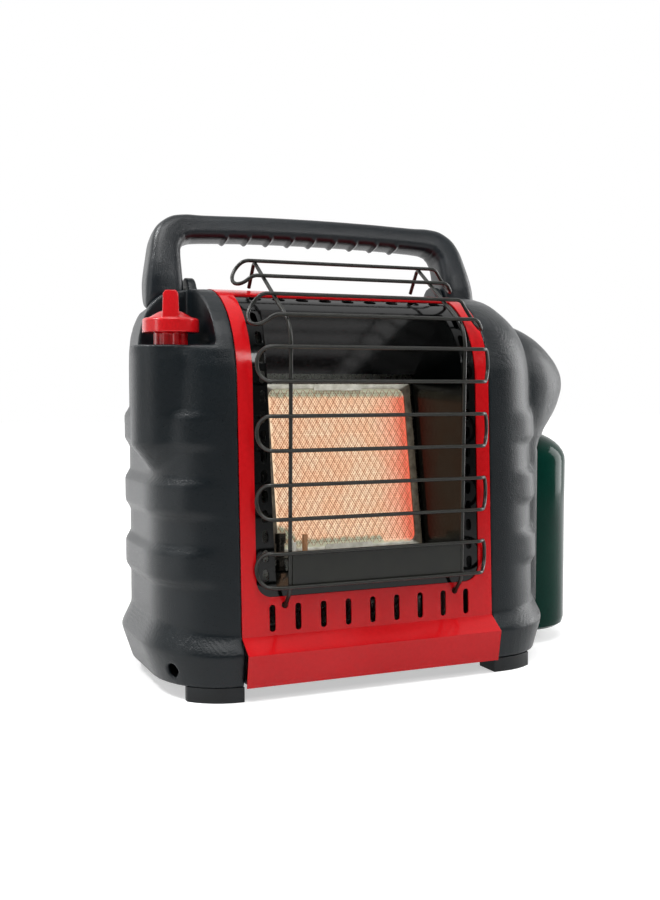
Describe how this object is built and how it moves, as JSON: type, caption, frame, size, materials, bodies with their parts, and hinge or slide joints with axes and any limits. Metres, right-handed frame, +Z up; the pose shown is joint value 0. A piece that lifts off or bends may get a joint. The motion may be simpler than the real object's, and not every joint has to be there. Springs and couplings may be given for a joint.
{
  "type": "portable propane heater",
  "caption": "Portable radiant propane heater with ribbed moulded sides, red sheet cover, bent-wire guard, glowing tile burner, fold-down handle, push-turn knob and screw-in gas cylinder.",
  "frame": {"origin": "centre of the object's footprint box, on the plane the feet stand on", "axes": "+X to the viewer's right, towards the gas cylinder; +Y to the back, away from the guard; +Z up"},
  "size_m": [0.424, 0.198, 0.3797],
  "materials": {
    "charcoal_plastic": "fine moulded texture, satin",
    "red_enamel": "gloss powder coat",
    "black_enamel": "gloss enamel",
    "foot_rubber": "matt",
    "plated_steel": "zinc plated",
    "aluminised_steel": "dull",
    "hot_ceramic": "glowing, perforated",
    "white_ceramic": "glazed",
    "black_wire": "satin coat",
    "brass": "turned",
    "aluminium_tube": "drawn",
    "red_plastic": "gloss",
    "black_plastic": "satin",
    "cast_zinc": "die cast",
    "green_enamel": "gloss paint"
  },
  "bodies": {
    "chassis": {"left_housing": "charcoal_plastic", "right_housing": "charcoal_plastic", "front_cover": "red_enamel", "rear_cover": "black_enamel", "base_pan": "black_enamel", "feet": "foot_rubber", "heat_shield": "plated_steel", "handle_pins": "plated_steel", "reflector": "black_enamel", "burner_body": "aluminised_steel", "ceramic_tile": "hot_ceramic", "burner_frame": "plated_steel", "burner_screen": "plated_steel", "venturi_tube": "aluminised_steel", "burner_orifice": "brass", "guard_hoops": "black_wire", "guard_uprights": "black_wire", "guard_plate": "black_wire", "pilot_burner": "brass", "spark_electrode": "white_ceramic", "thermocouple": "brass", "pilot_bracket": "plated_steel", "gas_tube": "aluminium_tube", "pilot_tube": "aluminium_tube", "supply_tube": "aluminium_tube", "valve_body": "brass", "valve_bracket": "plated_steel", "igniter": "black_plastic", "tip_switch": "black_plastic", "swivel_fitting": "brass", "cover_screws": "plated_steel"},
    "handle": {"handle": "charcoal_plastic"},
    "plunger": {"valve_plunger": "plated_steel"},
    "knob": {"control_knob": "red_plastic", "valve_stem": "brass"},
    "regulator": {"regulator_body": "cast_zinc", "regulator_cap": "black_enamel"},
    "tank_core": {"tank_valve_core": "plated_steel"},
    "tank": {"tank_shell": "green_enamel", "tank_valve": "brass"}
  },
  "joints": [
    {"name": "handle_fold", "type": "hinge", "parent": "chassis", "child": "handle", "pos_m": [-0.034, 0.03247, 0.311], "axis": [-1, 0, 0], "range_deg": [-16, 56]},
    {"name": "knob_push", "type": "slide", "parent": "chassis", "child": "plunger", "axis": [0, 0, -1], "range_m": [0, 0.004], "stiffness_N_per_m": 2500, "springref_m": -0.002},
    {"name": "knob_turn", "type": "hinge", "parent": "plunger", "child": "knob", "pos_m": [-0.182, -0.03353, 0.29], "axis": [0, 0, 1], "range_deg": [0, 180]},
    {"name": "regulator_swing", "type": "hinge", "parent": "chassis", "child": "regulator", "pos_m": [0.1628, 0.02717, 0.24], "axis": [0, -1, 0], "range_deg": [0, 25]},
    {"name": "tank_travel", "type": "slide", "parent": "regulator", "child": "tank_core", "axis": [0, 0, -1], "range_m": [0, 0.0051]},
    {"name": "tank_turn", "type": "hinge", "parent": "tank_core", "child": "tank", "pos_m": [0.1628, 0.02717, 0.1], "axis": [0, 0, -1], "range_deg": [0, 1440]}
  ],
  "couplings": [
    {"joint": "tank_travel", "follows": "tank_turn", "m_per_rad": 0.000202}
  ]
}
